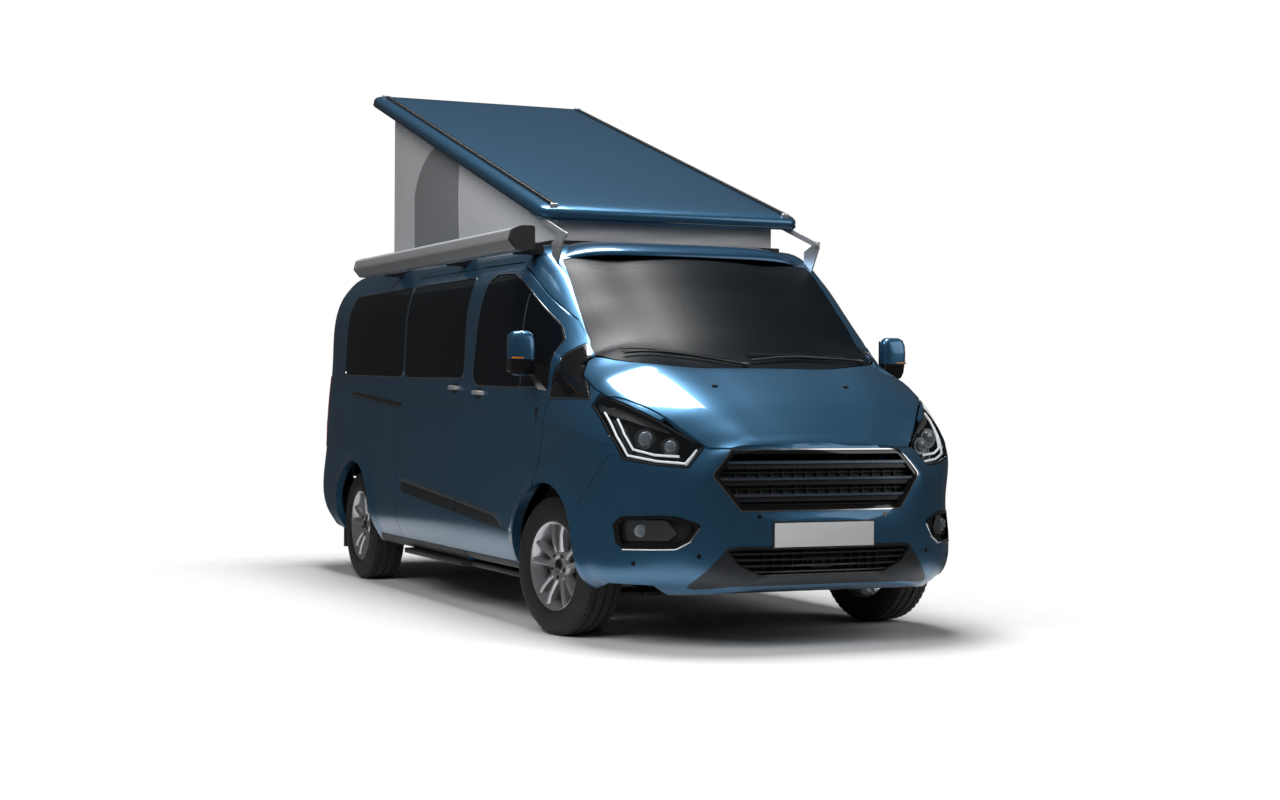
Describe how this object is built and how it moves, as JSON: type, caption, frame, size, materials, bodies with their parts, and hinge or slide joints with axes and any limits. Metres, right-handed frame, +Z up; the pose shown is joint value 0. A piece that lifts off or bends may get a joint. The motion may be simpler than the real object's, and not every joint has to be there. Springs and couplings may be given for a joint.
{
  "type": "camper van with lifting roof",
  "caption": "Panel van camper with a front-hinged lifting roof, fabric bellows, side awning, hinged cab doors, sliding side door, tailgate and steered front wheels.",
  "frame": {"origin": "on the ground, midway along the length and on the centre plane", "axes": "+Z up, -Y towards the front, +X towards the left side of the vehicle"},
  "size_m": [2.272, 5.3407, 3.138],
  "materials": {
    "paint": "deep blue metallic paint with a clear coat",
    "roof_paint": "blue metallic paint on the roof shell",
    "underbody": "black under-floor coating",
    "black_plastic": "grained black plastic",
    "gloss_black": "gloss black plastic",
    "lamp": "clear lamp covers over reflectors",
    "tail_lamp": "red lamp covers",
    "dark_glass": "dark tinted privacy glass",
    "screen_glass": "lightly tinted laminated windscreen",
    "canvas": "pale grey tent cloth",
    "silver": "anodised silver",
    "alloy": "silver painted alloy",
    "steel": "machined steel",
    "tyre": "black rubber",
    "dark_steel": "black coated chassis steel",
    "tank": "pale grey moulded tank",
    "trim_grey": "dark grey cabin plastic",
    "seat_cloth": "dark grey woven seat cloth",
    "furniture": "pale laminate furniture board"
  },
  "bodies": {
    "body": {"floor_pan": "underbody", "bulkhead": "underbody", "body_side_left": "paint", "body_side_right": "paint", "sliding_door": "paint", "roof_panel": "paint", "windscreen_pillars": "paint", "pillar_trims": "gloss_black", "front_wings": "paint", "windscreen": "screen_glass", "scuttle_panel": "black_plastic", "front_bumper": "paint", "grilles": "black_plastic", "headlights": "lamp", "fog_lights": "lamp", "rear_bumper": "paint", "tail_lights": "tail_lamp", "panel_hinges": "dark_steel", "side_windows": "dark_glass", "roof_cap": "roof_paint", "bellows_frame": "black_plastic", "roof_hinge_brackets": "silver", "bellows": "canvas", "awning_box": "silver", "awning_brackets": "black_plastic", "wheel_housings": "black_plastic", "front_subframe": "dark_steel", "rear_axle": "dark_steel", "engine_block": "dark_steel", "exhaust": "steel", "floor_tanks": "tank", "dashboard": "trim_grey", "steering_column": "trim_grey", "front_seats": "seat_cloth", "rear_bench": "seat_cloth", "kitchen_unit": "furniture", "chassis_fittings": "dark_steel"},
    "bonnet": {"bonnet": "paint"},
    "front_door_left": {"front_door_left": "paint", "front_door_glass_left": "dark_glass", "mirror_left": "paint"},
    "front_door_right": {"front_door_right": "paint", "front_door_glass_right": "dark_glass", "mirror_right": "paint"},
    "tailgate": {"tailgate": "paint", "tailgate_glass": "dark_glass"},
    "lifting_roof": {"lifting_roof": "roof_paint", "roof_hinge_arms": "silver"},
    "steering_wheel": {"steering_wheel": "trim_grey"},
    "knuckle_left": {"knuckle_left": "steel"},
    "knuckle_right": {"knuckle_right": "steel"},
    "wheel_front_left": {"rim_front_left": "alloy", "tyre_front_left": "tyre"},
    "wheel_front_right": {"rim_front_right": "alloy", "tyre_front_right": "tyre"},
    "wheel_rear_left": {"rim_rear_left": "alloy", "tyre_rear_left": "tyre"},
    "wheel_rear_right": {"rim_rear_right": "alloy", "tyre_rear_right": "tyre"}
  },
  "joints": [
    {"name": "bonnet_hinge", "type": "hinge", "parent": "body", "child": "bonnet", "pos_m": [0, -1.773, 1.336], "axis": [-1, 0, 0], "range_deg": [0, 50]},
    {"name": "front_door_left_hinge", "type": "hinge", "parent": "body", "child": "front_door_left", "pos_m": [0.972, -1.483, 0.9], "axis": [0, 0, 1], "range_deg": [-68, 0]},
    {"name": "front_door_right_hinge", "type": "hinge", "parent": "body", "child": "front_door_right", "pos_m": [-0.972, -1.483, 0.9], "axis": [0, 0, 1], "range_deg": [0, 68]},
    {"name": "tailgate_hinge", "type": "hinge", "parent": "body", "child": "tailgate", "pos_m": [0, 2.538, 1.916], "axis": [1, 0, 0], "range_deg": [0, 82]},
    {"name": "roof_hinge", "type": "hinge", "parent": "body", "child": "lifting_roof", "pos_m": [0, -1.248, 1.99], "axis": [1, 0, 0], "range_deg": [-17.6, 0], "deforming": ["bellows"]},
    {"name": "steer_left", "type": "hinge", "parent": "body", "child": "knuckle_left", "pos_m": [0.79, -1.668, 0.338], "axis": [0, 0, 1], "range_deg": [-43.5, 22.5]},
    {"name": "steer_right", "type": "hinge", "parent": "body", "child": "knuckle_right", "pos_m": [-0.79, -1.668, 0.338], "axis": [0, 0, 1], "range_deg": [-43.5, 22.5]},
    {"name": "steering_wheel_turn", "type": "hinge", "parent": "body", "child": "steering_wheel", "pos_m": [0.42, -1.168, 1.2], "axis": [0, 0.6018, 0.7986], "range_deg": [-700, 360]},
    {"name": "wheel_front_left_spin", "type": "hinge", "parent": "knuckle_left", "child": "wheel_front_left", "pos_m": [0.86866, -1.65342, 0.338], "axis": [0.9833, 0.1822, 0], "continuous": true},
    {"name": "wheel_front_right_spin", "type": "hinge", "parent": "knuckle_right", "child": "wheel_front_right", "pos_m": [-0.86866, -1.68258, 0.338], "axis": [0.9833, 0.1822, 0], "continuous": true},
    {"name": "wheel_rear_left_spin", "type": "hinge", "parent": "body", "child": "wheel_rear_left", "pos_m": [0.87, 1.632, 0.338], "axis": [1, 0, 0], "continuous": true},
    {"name": "wheel_rear_right_spin", "type": "hinge", "parent": "body", "child": "wheel_rear_right", "pos_m": [-0.87, 1.632, 0.338], "axis": [1, 0, 0], "continuous": true}
  ],
  "couplings": [
    {"joint": "steer_right", "follows": "steer_left", "ratio": 1},
    {"joint": "steering_wheel_turn", "follows": "steer_left", "ratio": 15.9}
  ]
}
